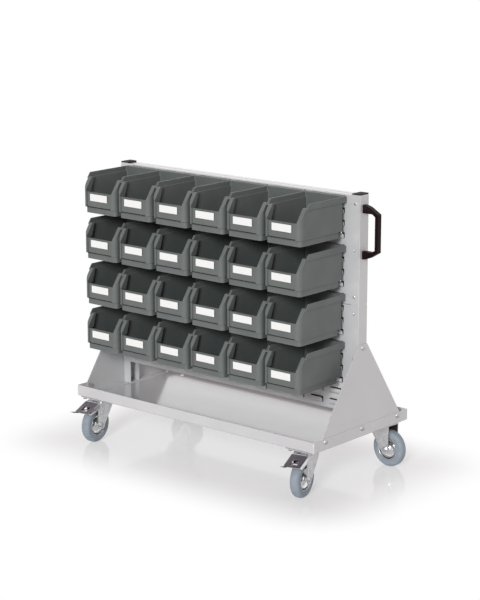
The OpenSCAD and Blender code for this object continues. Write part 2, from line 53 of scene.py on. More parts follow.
TURN_STEPS = 64
WHEEL_STEPS = 96
SCREW_STEPS = 32
DOME_STEPS = 40
NUT_STEPS = 48
BEND_STEPS = 4
MERGE = 0.002 * MM


# Camera

CAMERA_TURN = math.radians(40.36)
CAMERA_DROP = math.radians(13.155)
CAMERA_AWAY = 6.1618
CAMERA_LENS = 114.4
CAMERA_SENSOR = 36.0
AIM_HEIGHT = 0.5113
AIM_ASIDE = 0.0049

tray_low, tray_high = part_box("tray")
tray_mid = (tray_low + tray_high) / 2


def make_camera():
    """The photograph's view: from the front right, a little above the cart."""
    data = bpy.data.cameras.new("camera")
    data.sensor_width = CAMERA_SENSOR
    data.lens = CAMERA_LENS
    data.clip_end = 4 * CAMERA_AWAY
    camera = bpy.data.objects.new("camera", data)
    bpy.context.scene.collection.objects.link(camera)
    level = math.cos(CAMERA_DROP)
    look = Vector((-math.sin(CAMERA_TURN) * level, math.cos(CAMERA_TURN) * level, -math.sin(CAMERA_DROP)))
    aim = Vector((tray_mid.x + AIM_ASIDE, tray_mid.y, AIM_HEIGHT))
    camera.location = aim - look * CAMERA_AWAY
    camera.rotation_euler = (math.pi / 2 - CAMERA_DROP, 0, CAMERA_TURN)
    bpy.context.scene.camera = camera


make_camera()


# Materials

def srgb(red, green, blue):
    """A colour as it shows on screen, 0 to 255, as the linear values that a shader takes."""
    def linear(value):
        share = value / 255
        return share / 12.92 if share < 0.04045 else ((share + 0.055) / 1.055) ** 2.4
    return (linear(red), linear(green), linear(blue), 1.0)


COAT_ROUGHNESS = 0.12


class Finish:
    """A procedural material: a Principled shader and the patterns that drive it."""

    def __init__(self, name, roughness, metallic=0.0, coat=0.0, specular=0.5):
        self.material = bpy.data.materials.new(name)
        self.material.use_nodes = True
        self.tree = self.material.node_tree
        self.shader = self.tree.nodes["Principled BSDF"]
        self.shader.inputs["Roughness"].default_value = roughness
        self.shader.inputs["Metallic"].default_value = metallic
        self.shader.inputs["Coat Weight"].default_value = coat
        self.shader.inputs["Coat Roughness"].default_value = COAT_ROUGHNESS
        self.shader.inputs["Specular IOR Level"].default_value = specular
        self.place = self.tree.nodes.new("ShaderNodeTexCoord").outputs["Object"]
        self.normal = None

    def link(self, source, target):
        """Join one node's output to another's input."""
        self.tree.links.new(source, target)

    def stretched(self, scale):
        """The piece's own place, scaled along each axis."""
        mapping = self.tree.nodes.new("ShaderNodeMapping")
        mapping.inputs["Scale"].default_value = scale
        self.link(self.place, mapping.inputs["Vector"])
        return mapping.outputs["Vector"]

    def noise(self, scale, detail=2.0, stretch=None, rough=0.5):
        """Soft cloudy values, so many to the metre."""
        node = self.tree.nodes.new("ShaderNodeTexNoise")
        node.inputs["Scale"].default_value = scale
        node.inputs["Detail"].default_value = detail
        node.inputs["Roughness"].default_value = rough
        self.link(self.stretched(stretch) if stretch else self.place, node.inputs["Vector"])
        return node.outputs["Fac"]

    def cells(self, scale):
        """A flat random value in each grain."""
        node = self.tree.nodes.new("ShaderNodeTexVoronoi")
        node.inputs["Scale"].default_value = scale
        self.link(self.place, node.inputs["Vector"])
        return node.outputs["Color"]

    def ranged(self, value, low, high, start=0.3, end=0.7):
        """A value's stretch from start to end, spread over low to high."""
        node = self.tree.nodes.new("ShaderNodeMapRange")
        node.inputs["From Min"].default_value = start
        node.inputs["From Max"].default_value = end
        node.inputs["To Min"].default_value = low
        node.inputs["To Max"].default_value = high
        self.link(value, node.inputs["Value"])
        return node.outputs["Result"]

    def edges(self, radius):
        """High on outer edges, where a painted highlight goes: how far a rounded normal leans from the
        true one.
        """
        bevel = self.tree.nodes.new("ShaderNodeBevel")
        bevel.samples = 4
        bevel.inputs["Radius"].default_value = radius
        geometry = self.tree.nodes.new("ShaderNodeNewGeometry")
        dot = self.tree.nodes.new("ShaderNodeVectorMath")
        dot.operation = "DOT_PRODUCT"
        self.link(bevel.outputs["Normal"], dot.inputs[0])
        self.link(geometry.outputs["Normal"], dot.inputs[1])
        return self.ranged(dot.outputs["Value"], 1.0, 0.0, 0.8, 1.0)

    def mix(self, share, first, second):
        """From the first colour to the second as the share goes from 0 to 1."""
        node = self.tree.nodes.new("ShaderNodeMix")
        node.data_type = "RGBA"
        self.link(share, node.inputs["Factor"])
        for socket, colour in (("A_Color", first), ("B_Color", second)):
            target = next(s for s in node.inputs if s.identifier == socket)
            if isinstance(colour, tuple):
                target.default_value = colour
            else:
                self.link(colour, target)
        return next(s for s in node.outputs if s.identifier == "Result_Color")

    def colour(self, source):
        """Set the base colour, plain or from a pattern."""
        if isinstance(source, tuple):
            self.shader.inputs["Base Color"].default_value = source
        else:
            self.link(source, self.shader.inputs["Base Color"])

    def roughness(self, value, low, high):
        """Let a pattern move the roughness between two values."""
        self.link(self.ranged(value, low, high), self.shader.inputs["Roughness"])

    def bump(self, height, distance, strength=1.0):
        """Add a pattern's relief to those already there."""
        node = self.tree.nodes.new("ShaderNodeBump")
        node.inputs["Distance"].default_value = distance
        node.inputs["Strength"].default_value = strength
        self.link(height, node.inputs["Height"])
        if self.normal:
            self.link(self.normal, node.inputs["Normal"])
        self.normal = node.outputs["Normal"]
        self.link(self.normal, self.shader.inputs["Normal"])


def powder_coat(name, dark, light):
    """Thin satin powder coat: a faint orange peel and slightly uneven tone."""
    finish = Finish(name, 0.16, coat=0.9, specular=0.5)
    finish.colour(finish.mix(finish.ranged(finish.noise(9, 3), 0, 1), dark, light))
    finish.roughness(finish.noise(140, 2), 0.14, 0.2)
    finish.bump(finish.noise(420, 2), 0.012 * MM, 0.3)
    return finish.material


def zinc_plate(name, dark, light, roughness=0.36):
    """Zinc plate over pressed steel: soft spangle, faint rolling lines and duller patches."""
    finish = Finish(name, roughness, metallic=0.85)
    tone = finish.mix(finish.ranged(finish.noise(60, 4), 0, 1), dark, light)
    spangle = finish.mix(finish.cells(420), tone, light)
    finish.colour(finish.mix(finish.ranged(finish.noise(25, 2), 0.0, 0.5), tone, spangle))
    finish.roughness(finish.noise(180, 3, (1, 1, 6)), roughness - 0.08, roughness + 0.12)
    finish.bump(finish.noise(900, 2, (1, 1, 4)), 0.03 * MM, 0.5)
    return finish.material


def bin_plastic():
    """Dark grey moulded polypropylene: spark-eroded grain, flow tone and a painted highlight along the
    edges.
    """
    finish = Finish("bin_plastic", 0.5, specular=0.45)
    flow = finish.mix(finish.ranged(finish.noise(14, 3), 0, 1), srgb(94, 98, 97), srgb(101, 105, 104))
    # Painted highlight: a lighter colour along the outer edges, where they catch the light.
    edge_highlight = finish.ranged(finish.edges(1.8 * MM), 0.0, 0.7, 0.0, 1.0)
    finish.colour(finish.mix(edge_highlight, flow, srgb(140, 144, 143)))
    finish.roughness(finish.noise(300, 3), 0.44, 0.58)
    finish.bump(finish.noise(1900, 3), 0.045 * MM, 0.6)
    return finish.material


def tyre_rubber():
    """Blue-grey rubber with a dusty bloom."""
    finish = Finish("tyre_rubber", 0.62, specular=0.35)
    tone = finish.mix(finish.ranged(finish.noise(45, 4), 0, 1), srgb(130, 140, 150), srgb(147, 156, 166))
    dust = finish.ranged(finish.noise(260, 4), 0.0, 0.35, 0.45, 0.75)
    finish.colour(finish.mix(dust, tone, srgb(158, 164, 171)))
    finish.roughness(finish.noise(120, 3), 0.55, 0.72)
    finish.bump(finish.noise(1400, 3), 0.06 * MM, 0.5)
    return finish.material


def moulded_plastic(name, dark, light, roughness, grain, specular=0.5):
    """A plain finish in two near tones with a fine moulded grain, also used for painted shade."""
    finish = Finish(name, roughness, specular=specular)
    finish.colour(finish.mix(finish.ranged(finish.noise(40, 3), 0, 1), dark, light))
    finish.roughness(finish.noise(240, 3), roughness - 0.06, roughness + 0.08)
    finish.bump(finish.noise(grain, 2), 0.04 * MM, 0.6)
    return finish.material


def label_card():
    """Plain white card with a trace of paper fibre."""
    finish = Finish("label_card", 0.6, specular=0.4)
    fibre = finish.noise(700, 4, (1, 1, 3))
    finish.colour(finish.mix(finish.ranged(fibre, 0, 1), srgb(226, 226, 225), srgb(236, 236, 235)))
    finish.bump(fibre, 0.02 * MM, 0.3)
    return finish.material


PAINT = powder_coat("frame_paint", srgb(195, 194, 196), srgb(200, 199, 201))
ZINC = zinc_plate("zinc", srgb(196, 197, 199), srgb(224, 224, 225), 0.3)
WHEEL_ZINC = zinc_plate("wheel_zinc", srgb(214, 215, 216), srgb(238, 238, 239), 0.24)
BOLT_ZINC = zinc_plate("bolt_zinc", srgb(160, 161, 163), srgb(196, 196, 198), 0.34)
PEDAL_PAINT = moulded_plastic("pedal_paint", srgb(88, 80, 92), srgb(106, 97, 108), 0.4, 1500)
# Painted shade: a darker paint for the panels' inner sides, so the gaps behind the louvres look dark.
PANEL_PAINTED_SHADE = moulded_plastic("inner_paint", srgb(66, 58, 57), srgb(82, 73, 72), 0.6, 900)
# Painted shade: a dark zinc for the forks' and pedals' faces turned to the wheel and to the floor.
ZINC_PAINTED_SHADE = moulded_plastic("shaded_zinc", srgb(52, 42, 42), srgb(70, 58, 56), 0.6, 900, 0.2)
# Painted shade: a dark colour for the rims' recessed groove.
GROOVE_PAINTED_SHADE = moulded_plastic("groove_dark", srgb(30, 27, 32), srgb(44, 40, 46), 0.6, 900)
BIN_PLASTIC = bin_plastic()
RUBBER = tyre_rubber()
GRIP_PLASTIC = moulded_plastic("grip_plastic", srgb(22, 6, 8), srgb(28, 11, 13), 0.5, 1800, 0.12)
CAP_PLASTIC = moulded_plastic("cap_plastic", srgb(46, 40, 39), srgb(56, 50, 48), 0.7, 1500, 0.15)
CARD = label_card()


# Mesh helpers

def loft(bm, rings, joined=False):
    """A skin over rings of as many points each, with its two ends closed or joined."""
    rows = [[bm.verts.new(point) for point in ring] for ring in rings]
    pairs = list(zip(rows, rows[1:]))
    if joined:
        pairs.append((rows[-1], rows[0]))
    for low, high in pairs:
        for i in range(len(low)):
            j = (i + 1) % len(low)
            bm.faces.new((low[i], low[j], high[j], high[i]))
    if not joined:
        bm.faces.new(list(reversed(rows[0])))
        bm.faces.new(rows[-1])
    return rows


def arc(x, y, radius, start, end, steps=ARC_STEPS):
    """Points on an arc about (x, y), from one angle to another in degrees."""
    angles = [math.radians(start + (end - start) * i / steps) for i in range(steps + 1)]
    return [(x + radius * math.cos(a), y + radius * math.sin(a)) for a in angles]


def rounded_box(x0, x1, y0, y1, radius, steps=ARC_STEPS):
    """A rectangle's outline with round corners, counter-clockwise."""
    r = max(radius, 0.01 * MM)
    return (arc(x1 - r, y0 + r, r, -90, 0, steps) + arc(x1 - r, y1 - r, r, 0, 90, steps)
            + arc(x0 + r, y1 - r, r, 90, 180, steps) + arc(x0 + r, y0 + r, r, 180, 270, steps))


def prism(bm, outline, along, start, end):
    """A solid between two copies of a flat outline, set apart along X, Y or Z."""
    places = {"x": lambda a, b, t: (t, a, b),
              "y": lambda a, b, t: (a, t, b),
              "z": lambda a, b, t: (a, b, t)}
    place = places[along]
    loft(bm, [[place(a, b, start) for a, b in outline], [place(a, b, end) for a, b in outline]])


def block(bm, low, high, radius=0.0):
    """A box with its upright edges rounded."""
    prism(bm, rounded_box(low[0], high[0], low[1], high[1], radius), "z", low[2], high[2])


def lathe(bm, profile, steps=TURN_STEPS):
    """Turn a closed profile of (radius, height) points about Z."""
    rings = []
    for i in range(steps):
        angle = 2 * math.pi * i / steps
        rings.append([(r * math.cos(angle), r * math.sin(angle), z) for r, z in profile])
    loft(bm, rings, joined=True)


def spun_solid(bm, profile, steps=TURN_STEPS):
    """Turn an open profile that starts and ends on the axis about Z, with pointed ends merged."""
    lathe(bm, profile, steps)
    bmesh.ops.remove_doubles(bm, verts=bm.verts, dist=MERGE)
    flat = [face for face in bm.faces if face.calc_area() < MERGE * MERGE]
    bmesh.ops.delete(bm, geom=flat, context="FACES_ONLY")


def hexagon(radius):
    """The six corners of a regular hexagon."""
    angles = [math.radians(60 * i) for i in range(6)]
    return [(radius * math.cos(a), radius * math.sin(a)) for a in angles]


def softened(obj, width, segments=2, angle=32):
    """Round an object's edges with a bevel that stays in its mesh."""
    bevel = obj.modifiers.new("edges", "BEVEL")
    bevel.width = width
    bevel.segments = segments
    bevel.limit_method = "ANGLE"
    bevel.angle_limit = math.radians(angle)
    bevel.miter_outer = "MITER_ARC"
    settle(obj)


def settle(obj):
    """Turn an object's modifiers into its mesh."""
    depsgraph = bpy.context.evaluated_depsgraph_get()
    mesh = bpy.data.meshes.new_from_object(obj.evaluated_get(depsgraph))
    obj.modifiers.clear()
    obj.data = mesh


def to_object(name, bm, recalculate=True):
    """A new object of a finished bmesh, its faces turned outwards unless they already are."""
    if recalculate:
        bmesh.ops.recalc_face_normals(bm, faces=bm.faces)
    mesh = bpy.data.meshes.new(name)
    bm.to_mesh(mesh)
    bm.free()
    obj = bpy.data.objects.new(name, mesh)
    bpy.context.scene.collection.objects.link(obj)
    return obj


def from_node(name, node):
    """A copy of a CAD node with its loose triangles merged and its flat faces joined."""
    bm = bmesh.new()
    bm.from_mesh(frame["nodes"][node].data)
    bmesh.ops.remove_doubles(bm, verts=bm.verts, dist=MERGE)
    bmesh.ops.dissolve_limit(bm, angle_limit=math.radians(0.5), verts=bm.verts, edges=bm.edges)
    return to_object(name, bm, recalculate=False)


def dress(obj, material, body, slot, *nodes, smooth=32):
    """Give a finished piece its material, its shading, its body and the nodes it stands for."""
    obj.data.materials.clear()
    obj.data.materials.append(material)
    obj.data.shade_smooth()
    obj.data.set_sharp_from_angle(angle=math.radians(smooth))
    level = obj.modifiers.new("level_faces", "WEIGHTED_NORMAL")
    level.keep_sharp = True
    settle(obj)
    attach(obj, body)
    if nodes:
        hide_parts(*nodes)
    return obj


def cut_with(obj, cutter, operation="DIFFERENCE"):
    """Cut an object with another, or keep what both share, and remove the cutter."""
    boolean = obj.modifiers.new("cut", "BOOLEAN")
    boolean.operation = operation
    boolean.solver = "EXACT"
    boolean.object = cutter
    settle(obj)
    bpy.data.objects.remove(cutter)


def shade(obj, material, back, chosen):
    """Give another finish to the faces that a test of their own centre and normal picks, such as painted
    shade.
    """
    obj.data.materials.append(material)
    for face in obj.data.polygons:
        if chosen(back @ face.center, back.to_3x3() @ face.normal):
            face.material_index = len(obj.data.materials) - 1


def join(first, *others):
    """Add other objects' meshes to the first and remove them."""
    bm = bmesh.new()
    for obj in (first, *others):
        bm.from_mesh(obj.data)
    bm.to_mesh(first.data)
    bm.free()
    for obj in others:
        bpy.data.objects.remove(obj)
    return first


def thicken(obj, thickness):
    """Give a sheet its thickness, half to each side."""
    solid = obj.modifiers.new("thickness", "SOLIDIFY")
    solid.thickness = thickness
    solid.offset = 0
    solid.use_even_offset = True
    settle(obj)


# Geometry node trees

def new_tree(name, sockets):
    """A geometry tree with named inputs, and its group input node."""
    tree = bpy.data.node_groups.new(name, "GeometryNodeTree")
    for label, kind in sockets:
        tree.interface.new_socket(label, in_out="INPUT", socket_type=kind)
    tree.interface.new_socket("Geometry", in_out="OUTPUT", socket_type="NodeSocketGeometry")
    return tree, tree.nodes.new("NodeGroupInput")


def finish_tree(tree, source, instances):
    """Realize the copies and set their material, as the tree's last steps."""
    real = tree.nodes.new("GeometryNodeRealizeInstances")
    finish = tree.nodes.new("GeometryNodeSetMaterial")
    output = tree.nodes.new("NodeGroupOutput")
    tree.links.new(instances, real.inputs["Geometry"])
    tree.links.new(real.outputs["Geometry"], finish.inputs["Geometry"])
    tree.links.new(source.outputs["Finish"], finish.inputs["Material"])
    tree.links.new(finish.outputs["Geometry"], output.inputs["Geometry"])


def template_node(tree, source):
    """The shape of the tree's template object."""
    node = tree.nodes.new("GeometryNodeObjectInfo")
    tree.links.new(source.outputs["Template"], node.inputs["Object"])
    return node.outputs["Geometry"]


def points_tree():
    """A template on each point of the host, turned as the point's own turn attribute says."""
    tree, source = new_tree("copies_on_points", [
        ("Geometry", "NodeSocketGeometry"), ("Template", "NodeSocketObject"),
        ("Finish", "NodeSocketMaterial")])
    turn = tree.nodes.new("GeometryNodeInputNamedAttribute")
    turn.data_type = "FLOAT_VECTOR"
    turn.inputs["Name"].default_value = "turn"
    rotation = tree.nodes.new("FunctionNodeEulerToRotation")
    copies = tree.nodes.new("GeometryNodeInstanceOnPoints")
    tree.links.new(turn.outputs["Attribute"], rotation.inputs["Euler"])
    tree.links.new(source.outputs["Geometry"], copies.inputs["Points"])
    tree.links.new(template_node(tree, source), copies.inputs["Instance"])
    tree.links.new(rotation.outputs["Rotation"], copies.inputs["Rotation"])
    finish_tree(tree, source, copies.outputs["Instances"])
    return tree


def field_tree():
    """A template on an upright grid of columns and rows."""
    tree, source = new_tree("copies_in_rows", [
        ("Geometry", "NodeSocketGeometry"), ("Template", "NodeSocketObject"),
        ("Finish", "NodeSocketMaterial"), ("Width", "NodeSocketFloat"), ("Height", "NodeSocketFloat"),
        ("Columns", "NodeSocketInt"), ("Rows", "NodeSocketInt")])
    grid = tree.nodes.new("GeometryNodeMeshGrid")
    upright = tree.nodes.new("GeometryNodeTransform")
    upright.inputs["Rotation"].default_value = (math.pi / 2, 0, 0)
    copies = tree.nodes.new("GeometryNodeInstanceOnPoints")
    for label, socket in (("Width", "Size X"), ("Height", "Size Y"),
                          ("Columns", "Vertices X"), ("Rows", "Vertices Y")):
        tree.links.new(source.outputs[label], grid.inputs[socket])
    tree.links.new(grid.outputs["Mesh"], upright.inputs["Geometry"])
    tree.links.new(upright.outputs["Geometry"], copies.inputs["Points"])
    tree.links.new(template_node(tree, source), copies.inputs["Instance"])
    finish_tree(tree, source, copies.outputs["Instances"])
    return tree


POINTS_TREE = points_tree()
FIELD_TREE = field_tree()


def grow(host, tree, values):
    """Run a tree on a host with its named inputs set, and keep the result as the host's mesh."""
    modifier = host.modifiers.new("copies", "NODES")
    modifier.node_group = tree
    for item in tree.interface.items_tree:
        if item.name in values:
            modifier[item.identifier] = values[item.name]
    settle(host)


def copies(name, template, places, material):
    """One mesh of a template set at each (point, turn) place."""
    mesh = bpy.data.meshes.new(name)
    mesh.from_pydata([point for point, turn in places], [], [])
    turns = mesh.attributes.new("turn", "FLOAT_VECTOR", "POINT")
    for i, (point, turn) in enumerate(places):
        turns.data[i].vector = turn
    host = bpy.data.objects.new(name, mesh)
    bpy.context.scene.collection.objects.link(host)
    grow(host, POINTS_TREE, {"Template": template, "Finish": material})
    return host


# Frame: sizes that the pieces share

SHEET = 2 * MM
FOLD = 4 * MM
HEM = 10 * MM
HEM_DEPTH = 4 * MM
UPRIGHT_BEND = 3 * MM
CAP_CORNER = 3 * MM
PLUG_PLAY = 0.3 * MM
PANEL_SHEET = 1.5 * MM
PANEL_BOXES = {name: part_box(name) for name in
               ("front_panel_upper", "front_panel_lower", "rear_panel_upper", "rear_panel_lower")}
COLUMNS = 12
ROWS = 9
COLUMN_PITCH = 76 * MM
ROW_PITCH = 38 * MM
TAB_WIDTH = 50 * MM
TAB_HEIGHT = 18 * MM
TAB_GAP = 5 * MM
TAB_HEAD = 7.1 * MM
TAB_CORNER = 7 * MM
TAB_BEND = 2.2 * MM
WEB_HEIGHT = 6 * MM
SLIT = 3 * MM
SHEET_BEND = 2 * MM
FLANGE_PLAY = 0.5 * MM


def make_tray():
    """One folded sheet: floor, four rims with rounded folds, hems inside the long rims."""
    low, high = tray_low, tray_high
    floor = low.z + SHEET
    inner = FOLD - SHEET
    steps = [(SHEET + inner, SHEET + inner, floor)]
    for x, z in arc(0, 0, inner, 270, 360, BEND_STEPS)[1:]:
        steps.append((SHEET + inner - x, SHEET + inner - x, floor + inner + z))
    steps += [(SHEET, SHEET, high.z - HEM), (SHEET, HEM_DEPTH - 0.4 * MM, high.z - HEM),
              (SHEET, HEM_DEPTH, high.z - HEM + 0.5 * MM), (SHEET, HEM_DEPTH, high.z - 1.6 * MM),
              (SHEET - 0.3 * MM, HEM_DEPTH - 0.5 * MM, high.z - 0.5 * MM),
              (SHEET - 0.7 * MM, HEM_DEPTH - 1.3 * MM, high.z), (0.7 * MM, 1.3 * MM, high.z),
              (0.2 * MM, 0.4 * MM, high.z - 0.5 * MM), (0, 0, high.z - 1.6 * MM), (0, 0, low.z + FOLD)]
    for x, z in arc(0, 0, FOLD, 0, -90, BEND_STEPS)[1:]:
        steps.append((FOLD - x, FOLD - x, low.z + FOLD + z))
    rings = []
    for inset_x, inset_y, z in steps:
        radius = max(FOLD - max(inset_x, inset_y), 0.8 * MM)
        outline = rounded_box(low.x + inset_x, high.x - inset_x, low.y + inset_y, high.y - inset_y, radius)
        rings.append([(x, y, z) for x, y in outline])
    bm = bmesh.new()
    loft(bm, rings)
    dress(to_object("tray_body", bm), PAINT, "root", "frame_paint", "tray")


def make_upright(side, name):
    """A channel with bent corners, open towards the middle of the cart."""
    low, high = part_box(name)
    out, inside = (high.x, low.x) if side > 0 else (low.x, high.x)
    r = UPRIGHT_BEND
    half = []
    for x, y in arc(0, 0, r, 0, 90, BEND_STEPS):
        half.append((out - side * (r - x), high.y - r + y))
    rear = half + [(inside, high.y), (inside, high.y - SHEET)]
    for x, y in arc(0, 0, r - SHEET, 90, 0, BEND_STEPS):
        rear.append((out - side * (r - x), high.y - r + y))
    ring = rear + [(x, low.y + high.y - y) for x, y in reversed(rear)]
    bm = bmesh.new()
    prism(bm, ring, "z", low.z, high.z)
    obj = to_object(name + "_channel", bm)
    softened(obj, 0.35 * MM, 2, 60)
    dress(obj, PAINT, "root", "frame_paint", name)


def make_cap(side, name):
    """A moulded cap with a low crown, a rounded rim and its plug inside the channel."""
    low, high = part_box(name)
    upright_low, upright_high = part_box(name.replace("_cap", "_upright"))
    rim = upright_high.z
    crown = high.z
    bm = bmesh.new()
    rings = []
    for inset, z in ((0.5 * MM, rim), (0, rim + 0.5 * MM), (0, crown - 1.6 * MM),
                     (0.4 * MM, crown - 0.8 * MM), (1.6 * MM, crown - 0.25 * MM), (4.5 * MM, crown)):
        shape = rounded_box(low.x + inset, high.x - inset, low.y + inset, high.y - inset, CAP_CORNER)
        rings.append([(x, y, z) for x, y in shape])
    loft(bm, rings)
    gap = SHEET + PLUG_PLAY
    x0 = upright_low.x + (PLUG_PLAY if side > 0 else gap)
    x1 = upright_high.x - (gap if side > 0 else PLUG_PLAY)
    y0, y1 = upright_low.y + gap, upright_high.y - gap
    block(bm, (x0, y0, low.z), (x1, y1, rim + 0.4 * MM), 1 * MM)
    dress(to_object(name + "_cover", bm), CAP_PLASTIC, "root", "cap_plastic", name, smooth=40)


def make_gusset(name):
    """A triangular plate with its flanges, its edges rounded."""
    obj = from_node(name + "_plate", name)
    softened(obj, 0.5 * MM)
    dress(obj, PAINT, "root", "frame_paint", name)


def louvre_template():
    """One pressed tab: up out of the sheet on a sloping web, then flat, with round top corners."""
    half = TAB_WIDTH / 2
    mid = PANEL_SHEET / 2
    out = -(TAB_GAP + mid)
    foot = -TAB_HEIGHT
    profile = [(mid, foot - 0.2 * MM), (0.2 * MM, foot + 0.6 * MM),
               (out * 0.35, foot + WEB_HEIGHT * 0.45), (out * 0.72, foot + WEB_HEIGHT * 0.8),
               (out + 0.35 * MM, foot + WEB_HEIGHT + 0.2 * MM), (out, foot + WEB_HEIGHT + TAB_BEND)]
    top_steps = arc(0, -TAB_CORNER, TAB_CORNER, 0, 90, 4)
    rows = [(y, z, half) for y, z in profile]
    rows += [(out, z, half - TAB_CORNER + x) for x, z in top_steps]
    shares = (-1, -0.5, 0, 0.5, 1)
    bm = bmesh.new()
    grid = [[bm.verts.new((share * reach, y, z)) for share in shares] for y, z, reach in rows]
    for low, high in zip(grid, grid[1:]):
        for i in range(len(shares) - 1):
            bm.faces.new((low[i], low[i + 1], high[i + 1], high[i]))
    obj = to_object("louvre_template", bm)
    thicken(obj, PANEL_SHEET)
    softened(obj, 0.3 * MM, 1, 50)
    return obj


def panel_columns(half, flange_reach):
    """The sheet's upright lines, from its middle: its ends, its flanges' ends, the windows' sides."""
    columns = [-half, -flange_reach, flange_reach, half]
    for c in range(COLUMNS):
        centre = (c - (COLUMNS - 1) / 2) * COLUMN_PITCH
        columns += [centre - TAB_WIDTH / 2, centre + TAB_WIDTH / 2]
    return sorted(columns)


class SheetGrid:
    """A sheet's corner points, each made once and shared by the faces that meet there."""

    def __init__(self, mid_x, columns):
        self.bm = bmesh.new()
        self.mid_x = mid_x
        self.columns = columns
        self.made = {}

    def corner(self, i, key, y, z):
        if (i, key) not in self.made:
            self.made[i, key] = self.bm.verts.new((self.mid_x + self.columns[i], y, z))
        return self.made[i, key]

    def field(self, face, levels, windows):
        """The flat sheet, left open at each window."""
        for i in range(len(self.columns) - 1):
            tab_wide = abs(self.columns[i + 1] - self.columns[i] - TAB_WIDTH) < MERGE
            for j in range(len(levels) - 1):
                if not (tab_wide and (levels[j], levels[j + 1]) in windows):
                    around = ((i, j), (i + 1, j), (i + 1, j + 1), (i, j + 1))
                    self.bm.faces.new([self.corner(a, b, face, levels[b]) for a, b in around])

    def flange(self, end, spans, start, steps):
        """A flange from a level of the sheet, through its steps, to its free edge."""
        first, face, level = start
        for i in spans:
            below = [self.corner(i, first, face, level), self.corner(i + 1, first, face, level)]
            for k, (y, z) in enumerate(steps):
                above = [self.corner(i, (end, k), y, z), self.corner(i + 1, (end, k), y, z)]
                self.bm.faces.new((below[0], below[1], above[1], above[0]))
                below = above


def panel_sheet(name, low, high, front):
    """A panel's sheet with a window for each louvre and a bent flange along each long edge."""
    mid_x = (low.x + high.x) / 2
    flange_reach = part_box("right_upright")[0].x - mid_x - FLANGE_PLAY
    sign = 1 if front else -1
    face = (low.y if front else high.y) + sign * (TAB_GAP + PANEL_SHEET * 1.5)
    depth = (high.y - low.y) - TAB_GAP - PANEL_SHEET * 1.5 - 0.2 * MM
    base = high.z - ROWS * ROW_PITCH
    columns = panel_columns((high.x - low.x) / 2, flange_reach)
    spans = [i for i in range(len(columns) - 1)
             if columns[i] >= -flange_reach - MERGE and columns[i + 1] <= flange_reach + MERGE]
    windows = [(base + r * ROW_PITCH - TAB_HEAD - TAB_HEIGHT, base + r * ROW_PITCH - TAB_HEAD + SLIT)
               for r in range(1, ROWS + 1)]
    bend, mid = SHEET_BEND, PANEL_SHEET / 2
    levels = sorted([low.z + mid + bend, high.z - mid - bend] + [z for pair in windows for z in pair])
    grid = SheetGrid(mid_x, columns)
    grid.field(face, levels, windows)
    for end, edge, first in ((-1, low.z + mid, 0), (1, high.z - mid, len(levels) - 1)):
        turn = [(face + sign * (bend - y), edge + end * (-bend + z))
                for y, z in arc(0, 0, bend, 0, 90, 3)[1:]]
        grid.flange(end, spans, (first, face, levels[first]), turn + [(face + sign * depth, edge)])
    obj = to_object(name, grid.bm)
    thicken(obj, PANEL_SHEET)
    return obj, face, base


def make_panel(name, template):
    """A louvred panel: its sheet, its rows of tabs, and painted shade on the side turned inwards."""
    low, high = PANEL_BOXES[name]
    front = name.startswith("front")
    sheet, face, base = panel_sheet(name + "_sheet", low, high, front)
    host = bpy.data.objects.new(name + "_louvres", bpy.data.meshes.new(name))
    bpy.context.scene.collection.objects.link(host)
    grow(host, FIELD_TREE, {
        "Template": template, "Finish": PAINT, "Width": (COLUMNS - 1) * COLUMN_PITCH,
        "Height": (ROWS - 1) * ROW_PITCH, "Columns": COLUMNS, "Rows": ROWS})
    middle = base + (ROWS + 1) / 2 * ROW_PITCH - TAB_HEAD
    turn = Matrix.Rotation(0 if front else math.pi, 4, "Z")
    host.data.transform(Matrix.Translation(((low.x + high.x) / 2, face, middle)) @ turn)
    join(sheet, host)
    dress(sheet, PAINT, "root", "frame_paint", name)
    # Painted shade on the sheet's faces turned into the space between the panels.
    inward = 1 if front else -1
    shade(sheet, PANEL_PAINTED_SHADE, Matrix.Identity(4), lambda centre, normal: (
        normal.y * inward > 0.5 and (centre.y - face) * inward < 2 * PANEL_SHEET))


# Fasteners

SCREW_R = 4.6 * MM
SCREW_HEIGHT = 2.2 * MM
RECESS_HALF = 2.6 * MM
RECESS_SLOT = 0.5 * MM
RECESS_DEPTH = 1.1 * MM
BOLT_R = 8 * MM
NUT_CHAMFER = 0.7 * MM
GUSSET_SHEET = 2.5 * MM


def screw_template():
    """A pan-head screw with a cross recess, its seat at z = 0."""
    r, h = SCREW_R, SCREW_HEIGHT
    bm = bmesh.new()
    profile = [(0, 0), (r, 0), (r, 0.4 * MM), (r * 0.94, h * 0.6), (r * 0.75, h * 0.9), (r * 0.4, h),
               (0, h)]
    spun_solid(bm, profile, SCREW_STEPS)
    head = to_object("screw_template", bm)
    for turn in (0, 90):
        bm = bmesh.new()
        block(bm, (-RECESS_HALF, -RECESS_SLOT, h - RECESS_DEPTH),
              (RECESS_HALF, RECESS_SLOT, h + 1 * MM), 0.1 * MM)
        bmesh.ops.rotate(bm, verts=bm.verts, matrix=Matrix.Rotation(math.radians(turn), 3, "Z"))
        cut_with(head, to_object("recess", bm))
    return head


def dome_template(radius, height):
    """A round-headed bolt's head, its seat at z = 0, pointing up."""
    shares = ((0, 0), (1, 0), (1, 0.16), (0.93, 0.44), (0.7, 0.78), (0.4, 0.96), (0, 1))
    bm = bmesh.new()
    spun_solid(bm, [(radius * r, height * z) for r, z in shares], DOME_STEPS)
    return to_object("dome_template", bm)


